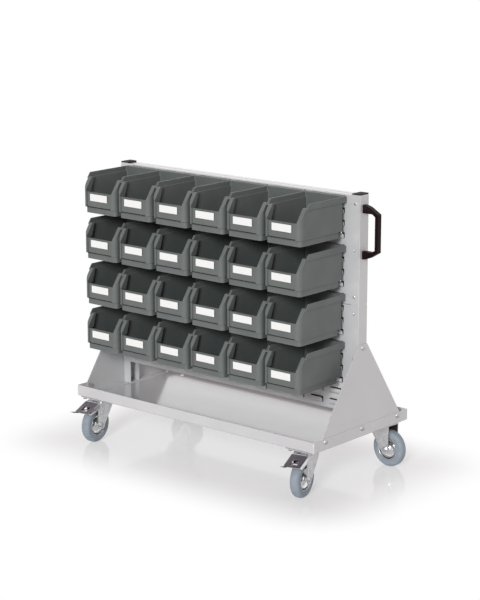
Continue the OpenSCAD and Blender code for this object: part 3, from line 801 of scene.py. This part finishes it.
def nut_template(flat_r=5.9 * MM, height=5 * MM, shank=3 * MM, beyond=2 * MM):
    """A hexagon nut with both faces chamfered and the bolt's end standing out, seat at z = 0."""
    bm = bmesh.new()
    prism(bm, hexagon(flat_r), "z", 0, height)
    nut = to_object("nut_template", bm)
    bm = bmesh.new()
    spun_solid(bm, [(0, 0), (flat_r * 0.86, 0), (flat_r, NUT_CHAMFER), (flat_r, height - NUT_CHAMFER),
                    (flat_r * 0.86, height), (0, height)], NUT_STEPS)
    cut_with(nut, to_object("chamfer", bm), "INTERSECT")
    softened(nut, 0.12 * MM, 1, 25)
    bm = bmesh.new()
    spun_solid(bm, [(0, height - MM), (shank, height - MM), (shank, height + beyond - 0.5 * MM),
                    (shank - 0.5 * MM, height + beyond), (0, height + beyond)], SCREW_STEPS)
    return join(nut, to_object("bolt_end", bm))


def make_panel_screws():
    """Three screws down each end of each panel, into the uprights' flanges."""
    template = screw_template()
    low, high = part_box("panel_screws")
    panel_height = ROWS * ROW_PITCH
    from_end = low.z + SCREW_R - PANEL_BOXES["front_panel_lower"][0].z
    places = []
    for name, (panel_low, panel_high) in PANEL_BOXES.items():
        front = name.startswith("front")
        base = panel_high.z - panel_height
        y = (panel_low.y + TAB_GAP + PANEL_SHEET) if front else (panel_high.y - TAB_GAP - PANEL_SHEET)
        tilt = math.pi / 2 if front else -math.pi / 2
        for x in (low.x + SCREW_R, high.x - SCREW_R):
            for z in (from_end, panel_height / 2, panel_height - from_end):
                places.append(((x, y, base + z), (tilt, 0, math.radians(37 * len(places) % 90))))
    obj = copies("panel_screw_heads", template, places, BOLT_ZINC)
    bpy.data.objects.remove(template)
    dress(obj, BOLT_ZINC, "root", "fastener", "panel_screws")


def make_gusset_bolts():
    """Round-headed bolts through the tray's end walls and near each gusset's point, with their nuts."""
    head, nut = dome_template(BOLT_R, 4.6 * MM), nut_template()
    low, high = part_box("gusset_bolts")
    gusset_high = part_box("right_gusset")[1]
    heads, nuts = [], []
    foot_z, apex_z = low.z + BOLT_R, high.z - BOLT_R
    grip = tray_high.x - (gusset_high.x - GUSSET_SHEET)
    for side in (-1, 1):
        wall = tray_high.x if side > 0 else tray_low.x
        tilt = (0, side * math.pi / 2, 0)
        back = (0, -side * math.pi / 2, 0)
        for y in (low.y + BOLT_R, tray_mid.y, high.y - BOLT_R):
            heads.append(((wall, y, foot_z), tilt))
            extra = SHEET if abs(y - tray_mid.y) < MM else 0
            nuts.append(((wall - side * (grip + extra), y, foot_z), back))
        heads.append(((wall - side * SHEET, tray_mid.y, apex_z), tilt))
        nuts.append(((wall - side * (grip + SHEET), tray_mid.y, apex_z), back))
    first = copies("gusset_bolt_heads", head, heads, BOLT_ZINC)
    second = copies("gusset_bolt_nuts", nut, nuts, BOLT_ZINC)
    for template in (head, nut):
        bpy.data.objects.remove(template)
    dress(join(first, second), BOLT_ZINC, "root", "fastener", "gusset_bolts")


# Handle

HANDLE_TURN = 16 * MM
TURN_LEAST = math.radians(15)
TURN_MOST = math.radians(45)


def is_turn(edge):
    """Whether an edge runs across the handle where its bar turns outwards by a medium angle."""
    if not edge.is_manifold:
        return False
    along = (edge.verts[1].co - edge.verts[0].co).normalized()
    return abs(along.y) > 0.99 and TURN_LEAST < edge.calc_face_angle_signed() < TURN_MOST


def make_handle():
    """The grip with its bar's turns drawn round and all its edges softened."""
    obj = from_node("push_handle", "handle")
    bm = bmesh.new()
    bm.from_mesh(obj.data)
    turns = [edge for edge in bm.edges if is_turn(edge)]
    bmesh.ops.bevel(bm, geom=turns, offset=HANDLE_TURN, segments=5, profile=0.5, affect="EDGES",
                    clamp_overlap=True)
    bm.to_mesh(obj.data)
    bm.free()
    softened(obj, 2.2 * MM, 4)
    dress(obj, GRIP_PLASTIC, "root", "handle_plastic", "handle", smooth=50)


# Bins

CARD_DEPTH = 0.65 * MM
LABEL_WIDTH = 75 * MM
LABEL_HEIGHT = 23 * MM
LABEL_MIDDLE = 53 * MM
LABEL_THICK = 0.5 * MM
LABEL_CORNER = 1.2 * MM


def bin_place(name):
    """A bin's own origin: the middle of its width, its tabs' outer face and its foot."""
    low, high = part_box(name)
    return Vector(((low.x + high.x) / 2, high.y, low.z))


def bin_template():
    """A bin's shell about its own origin, without the solid's label and with soft edges."""
    obj = from_node("bin_template", "bin_1_1")
    bm = bmesh.new()
    bm.from_mesh(obj.data)
    front = min(v.co.y for v in bm.verts)
    card = [f for f in bm.faces if all(v.co.y < front + CARD_DEPTH for v in f.verts)]
    shell = {v for f in bm.faces if f not in card for v in f.verts}
    loose = [v for v in bm.verts if v.co.y < front + 0.1 * MM or v not in shell]
    bmesh.ops.delete(bm, geom=loose, context="VERTS")
    bm.to_mesh(obj.data)
    bm.free()
    softened(obj, 0.7 * MM, 2, 30)
    obj.data.transform(Matrix.Translation(-bin_place("bin_1_1")))
    return obj


def label_mesh(front):
    """A card with rounded corners and a slight edge."""
    bm = bmesh.new()
    w, t = LABEL_WIDTH / 2, LABEL_THICK
    bottom, top = LABEL_MIDDLE - LABEL_HEIGHT / 2, LABEL_MIDDLE + LABEL_HEIGHT / 2
    rings = []
    for inset, y in ((0, front), (0, front - t * 0.7), (0.15 * MM, front - t)):
        shape = rounded_box(-w + inset, w - inset, bottom + inset, top - inset, LABEL_CORNER)
        rings.append([(x, y, z) for x, z in shape])
    loft(bm, rings)
    return to_object("label_template", bm)


def make_bins():
    """Every bin's shell and its label card, each at its own node's place."""
    template = bin_template()
    front = min(v.co.y for v in template.data.vertices)
    label = label_mesh(front)
    for name in sorted(n for n in frame["nodes"] if n.startswith("bin_")):
        place = Matrix.Translation(bin_place(name))
        for source, suffix, material, slot, nodes in (
                (template, "_shell", BIN_PLASTIC, "bin_plastic", (name,)),
                (label, "_label", CARD, "label_card", ())):
            mesh = source.data.copy()
            mesh.transform(place)
            obj = bpy.data.objects.new(name + suffix, mesh)
            bpy.context.scene.collection.objects.link(obj)
            dress(obj, material, name, slot, *nodes, smooth=35)
    for source in (template, label):
        bpy.data.objects.remove(source)


# Casters

JOINTS = {joint["name"]: joint for joint in frame["joints"]}
CORNERS = ("front_left", "front_right", "rear_left", "rear_right")


def caster_frame(corner):
    """The matrix of a caster's own axes: x along its trail, y along its axle, from the floor."""
    swivel = Vector(JOINTS["swivel_" + corner]["pos_m"])
    axle = Vector(JOINTS["roll_" + corner]["pos_m"])
    angle = math.atan2(axle.y - swivel.y, axle.x - swivel.x)
    return Matrix.Translation((swivel.x, swivel.y, 0)) @ Matrix.Rotation(angle, 4, "Z")


def axle_frame(corner):
    """The same, moved to the axle and with Z along it."""
    axle = Vector(JOINTS["roll_" + corner]["pos_m"])
    turn = caster_frame(corner).to_3x3().to_4x4()
    return Matrix.Translation(axle) @ turn @ Matrix.Rotation(-math.pi / 2, 4, "X")


WHEEL_R = JOINTS["roll_front_left"]["pos_m"][2]
TYRE_HALF = 16 * MM
RIM_R = 37 * MM
SHOULDER = 12 * MM
TYRE_PLAY = 0.3 * MM
GROOVE = (31.3 * MM, 34.9 * MM)
AXLE_R = 5 * MM
AXLE_HALF = 25.5 * MM
PEDAL_TOP = WHEEL_R + 50 * MM
PEDAL_TOP_HALF = 27.5 * MM
CASTER_BOLT_X = 37.5 * MM
CASTER_BOLT_Y = 31 * MM
# Radius and height in millimetres, from the bore over the bearing cover, the hub, the web and the
# groove to the seat of the tyre
RIM_PROFILE = ((5.05, 22.1), (7.6, 22.1), (8, 21.6), (8.2, 15), (11, 13.5), (12, 12.6), (13, 8), (17, 6.2),
               (22, 5.4), (27, 6.2), (30.2, 8.6), (31, 9.4), (31.4, 7), (32, 6.2), (34.2, 6.2), (34.8, 7),
               (35.1, 13), (35.6, 13.5), (36.6, 13.5), (37, 13.1))


def make_tyre(corner):
    """A solid rubber tyre: round shoulders, a mould line and a lip that grips the rim."""
    inner, outer = RIM_R + TYRE_PLAY, WHEEL_R - SHOULDER
    half_width = TYRE_HALF
    flat = half_width - SHOULDER
    side = [(inner, half_width - 1.5 * MM), (inner + 0.8 * MM, half_width - 0.4 * MM),
            (inner + 2 * MM, half_width), (inner + 4 * MM, half_width),
            (inner + 4.6 * MM, half_width - 0.5 * MM), (outer - 0.8 * MM, half_width - 0.5 * MM),
            (outer, half_width - 0.2 * MM)]
    curve = [(outer + r, flat + z) for r, z in arc(0, 0, SHOULDER, 80, 0, 8)]
    ridge = [(WHEEL_R, 0.6 * MM)]
    half = side + curve + ridge
    profile = half + [(r, -z) for r, z in reversed(half)]
    bm = bmesh.new()
    lathe(bm, profile, WHEEL_STEPS)
    bmesh.ops.transform(bm, matrix=axle_frame(corner), verts=bm.verts)
    obj = to_object("tyre_" + corner + "_rubber", bm)
    dress(obj, RUBBER, "wheel_" + corner, "tyre_rubber", "tyre_" + corner, smooth=40)


def make_rim(corner):
    """A turned wheel centre: outer ring, groove, dished web, hub and its bearing cover, with painted shade
    in the groove.
    """
    half = [(r * MM, z * MM) for r, z in RIM_PROFILE]
    profile = half + [(r, -z) for r, z in reversed(half)]
    bm = bmesh.new()
    lathe(bm, profile, WHEEL_STEPS)
    bmesh.ops.transform(bm, matrix=axle_frame(corner), verts=bm.verts)
    obj = to_object("rim_" + corner + "_disc", bm)
    dress(obj, WHEEL_ZINC, "wheel_" + corner, "zinc", "rim_" + corner, smooth=35)
    # Painted shade in the recessed groove between the rim's ring and the tyre.
    shade(obj, GROOVE_PAINTED_SHADE, axle_frame(corner).inverted(), lambda centre, normal: (
        GROOVE[0] < math.hypot(centre.x, centre.y) < GROOVE[1]))


def make_fork(corner):
    """A pressed fork, with painted shade on the faces turned to the wheel and to the floor."""
    obj = from_node("fork_" + corner + "_steel", "fork_" + corner)
    softened(obj, 0.6 * MM)
    dress(obj, ZINC, "fork_" + corner, "zinc", "fork_" + corner)
    # Painted shade on the faces turned to the wheel and to the floor.
    shade(obj, ZINC_PAINTED_SHADE, caster_frame(corner).inverted(),
          lambda centre, normal: centre.y * normal.y < -0.5 * abs(centre.y) or normal.z < -0.7)


def make_axle(corner):
    """A hexagon-headed bolt on one side and its nut on the other."""
    template = nut_template(flat_r=8.4 * MM, height=5.2 * MM, shank=AXLE_R, beyond=0.3 * MM)
    for side in (0, 1):
        turned = axle_frame(corner) @ Matrix.Rotation(side * math.pi, 4, "X")
        place = turned @ Matrix.Translation((0, 0, AXLE_HALF))
        end = bpy.data.objects.new("axle_end", template.data.copy())
        end.data.transform(place)
        bpy.context.scene.collection.objects.link(end)
        if side == 0:
            first = end
    bm = bmesh.new()
    outline = [(0, -AXLE_HALF), (AXLE_R, -AXLE_HALF), (AXLE_R, AXLE_HALF), (0, AXLE_HALF)]
    spun_solid(bm, outline, SCREW_STEPS)
    bmesh.ops.transform(bm, matrix=axle_frame(corner), verts=bm.verts)
    shank = to_object("axle_shank", bm)
    obj = join(first, end, shank)
    bpy.data.objects.remove(template)
    obj.name = "axle_" + corner + "_bolt"
    dress(obj, BOLT_ZINC, "fork_" + corner, "fastener", "axle_" + corner)


def make_pedal(corner):
    """A brake pedal, dark on its tread, with painted shade on the faces turned inwards and down."""
    obj = from_node("brake_pedal_" + corner + "_plate", "brake_pedal_" + corner)
    softened(obj, 0.4 * MM)
    dress(obj, ZINC, "brake_pedal_" + corner, "zinc", "brake_pedal_" + corner)
    back = caster_frame(corner).inverted()
    shade(obj, PEDAL_PAINT, back, lambda centre, normal: (
        normal.z > 0.7 and centre.z > PEDAL_TOP and abs(centre.y) < PEDAL_TOP_HALF))
    # Painted shade on the faces turned down and inwards; the tread's colour above is the pedal's own.
    shade(obj, ZINC_PAINTED_SHADE, back, lambda centre, normal: (
        normal.z < -0.5 or centre.y * normal.y < -0.5 * abs(centre.y)))


def make_caster_bolts():
    """Round-headed bolts through the tray with hexagon nuts under the casters' plates."""
    low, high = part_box("caster_bolts")
    floor = tray_low.z + SHEET
    head = dome_template(BOLT_R, 2.5 * MM)
    nut = nut_template(flat_r=7.3 * MM, height=6.2 * MM, shank=4 * MM, beyond=0.2 * MM)
    heads, nuts = [], []
    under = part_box("caster_plates")[0].z
    for corner in CORNERS:
        swivel = JOINTS["swivel_" + corner]["pos_m"]
        for x in (-1, 1):
            for y in (-1, 1):
                spot = (swivel[0] + x * CASTER_BOLT_X, swivel[1] + y * CASTER_BOLT_Y)
                heads.append(((*spot, floor), (0, 0, 0)))
                nuts.append(((*spot, under), (math.pi, 0, math.radians(17 * len(nuts) % 60))))
    first = copies("caster_bolt_heads", head, heads, BOLT_ZINC)
    second = copies("caster_bolt_nuts", nut, nuts, BOLT_ZINC)
    for template in (head, nut):
        bpy.data.objects.remove(template)
    dress(join(first, second), BOLT_ZINC, "root", "fastener", "caster_bolts")


def paint_nodes():
    """CAD nodes whose shape is right keep it and get a finish."""
    for name, material in (("caster_plates", ZINC), ("swivel_bearings", BOLT_ZINC),
                           ("handle_screws", BOLT_ZINC)):
        data = frame["nodes"][name].data
        data.materials.clear()
        data.materials.append(material)


make_tray()
for side, name in ((-1, "left"), (1, "right")):
    make_upright(side, name + "_upright")
    make_cap(side, name + "_cap")
    make_gusset(name + "_gusset")
louvre = louvre_template()
for panel in PANEL_BOXES:
    make_panel(panel, louvre)
bpy.data.objects.remove(louvre)
make_panel_screws()
make_gusset_bolts()
make_handle()
make_bins()
for corner in CORNERS:
    make_tyre(corner)
    make_rim(corner)
    make_fork(corner)
    make_axle(corner)
    if "brake_pedal_" + corner in frame["nodes"]:
        make_pedal(corner)
make_caster_bolts()
paint_nodes()


# Stage: a pale floor, an even sky and one soft lamp

FLOOR_HALF = 30.0
FLOOR_COLOUR = (0.86, 0.85, 0.855, 1)
FLOOR_ROUGHNESS = 0.1
FADE_START = 0.0
FADE_END = 0.3
NEAR_WHITE = 0.42
BOUNCE = 0.3
SKY = 0.36
MIRRORED = 1.12
AMBIENT_TINT = (1.14, 0.98, 0.97)
LAMP_TINT = (0.95, 1.0, 0.995)
LAMP_SHARE = 0.72
LAMP_DIRECTION = (-0.46, 1.0, -0.43)
LAMP_SOFTNESS = 14


def math_node(tree, operation, first, second=None):
    """A sum of one or two values, each a number or another node's output."""
    node = tree.nodes.new("ShaderNodeMath")
    node.operation = operation
    for socket, value in zip(node.inputs, (first, second)):
        if isinstance(value, float):
            socket.default_value = value
        elif value is not None:
            tree.links.new(value, socket)
    return node.outputs[0]


def distance_from_cart(tree):
    """How far a floor point lies outside the tray's outline, in metres."""
    place = tree.nodes.new("ShaderNodeSeparateXYZ")
    tree.links.new(tree.nodes.new("ShaderNodeTexCoord").outputs["Object"], place.inputs[0])
    squares = []
    for axis, middle, half in (("X", tray_mid.x, (tray_high.x - tray_low.x) / 2),
                               ("Y", tray_mid.y, (tray_high.y - tray_low.y) / 2)):
        away = math_node(tree, "ABSOLUTE", math_node(tree, "SUBTRACT", place.outputs[axis], middle))
        outside = math_node(tree, "MAXIMUM", math_node(tree, "SUBTRACT", away, half), 0.0)
        squares.append(math_node(tree, "MULTIPLY", outside, outside))
    return math_node(tree, "SQRT", math_node(tree, "ADD", squares[0], squares[1]))


def floor_material():
    """Pale and slightly glossy under the cart, turning plain white away from it."""
    material = bpy.data.materials.new("floor")
    material.use_nodes = True
    tree = material.node_tree
    shader = tree.nodes["Principled BSDF"]
    shader.inputs["Base Color"].default_value = FLOOR_COLOUR
    shader.inputs["Roughness"].default_value = FLOOR_ROUGHNESS
    shader.inputs["Specular IOR Level"].default_value = 0.5
    fade = tree.nodes.new("ShaderNodeMapRange")
    fade.interpolation_type = "SMOOTHSTEP"
    fade.inputs["From Min"].default_value = FADE_START
    fade.inputs["From Max"].default_value = FADE_END
    fade.inputs["To Min"].default_value = NEAR_WHITE
    tree.links.new(distance_from_cart(tree), fade.inputs["Value"])
    path = tree.nodes.new("ShaderNodeLightPath")
    white = tree.nodes.new("ShaderNodeEmission")
    share = math_node(tree, "MAXIMUM", path.outputs["Is Camera Ray"], BOUNCE)
    seen = math_node(tree, "MULTIPLY", fade.outputs["Result"], share)
    pick = tree.nodes.new("ShaderNodeMixShader")
    tree.links.new(seen, pick.inputs["Fac"])
    tree.links.new(shader.outputs[0], pick.inputs[1])
    tree.links.new(white.outputs[0], pick.inputs[2])
    tree.links.new(pick.outputs[0], tree.nodes["Material Output"].inputs["Surface"])
    return material


def make_floor():
    """A floor wide enough to fill every view."""
    half = FLOOR_HALF
    corners = [(-half, -half, 0), (half, -half, 0), (half, half, 0), (-half, half, 0)]
    mesh = bpy.data.meshes.new("floor")
    mesh.from_pydata(corners, [], [(0, 1, 2, 3)])
    floor = bpy.data.objects.new("floor", mesh)
    bpy.context.scene.collection.objects.link(floor)
    mesh.materials.append(floor_material())


def make_world(strength):
    """An even sky, brighter where it is mirrored than where it lights."""
    world = bpy.data.worlds.new("sky")
    bpy.context.scene.world = world
    world.use_nodes = True
    tree = world.node_tree
    background = tree.nodes["Background"]
    path = tree.nodes.new("ShaderNodeLightPath")
    seen = math_node(tree, "MAXIMUM", path.outputs["Is Camera Ray"], path.outputs["Is Glossy Ray"])
    pick = tree.nodes.new("ShaderNodeMix")
    pick.data_type = "RGBA"
    tree.links.new(seen, pick.inputs["Factor"])
    for identifier, colour in (("A_Color", tuple(strength * c for c in AMBIENT_TINT) + (1.0,)),
                               ("B_Color", (MIRRORED, MIRRORED, MIRRORED, 1.0))):
        next(i for i in pick.inputs if i.identifier == identifier).default_value = colour
    picked = next(o for o in pick.outputs if o.identifier == "Result_Color")
    tree.links.new(picked, background.inputs["Color"])


def make_lamp(name, share, direction, softness):
    """A wide sun that adds this share of a white surface's brightness where it falls square on."""
    data = bpy.data.lights.new(name, "SUN")
    data.energy = share * math.pi
    data.color = LAMP_TINT
    data.angle = math.radians(softness)
    lamp = bpy.data.objects.new(name, data)
    lamp.rotation_euler = Vector(direction).to_track_quat("-Z", "Y").to_euler()
    bpy.context.scene.collection.objects.link(lamp)


make_floor()
make_world(SKY)
make_lamp("key", LAMP_SHARE, LAMP_DIRECTION, LAMP_SOFTNESS)
bpy.context.scene.view_settings.view_transform = "Standard"
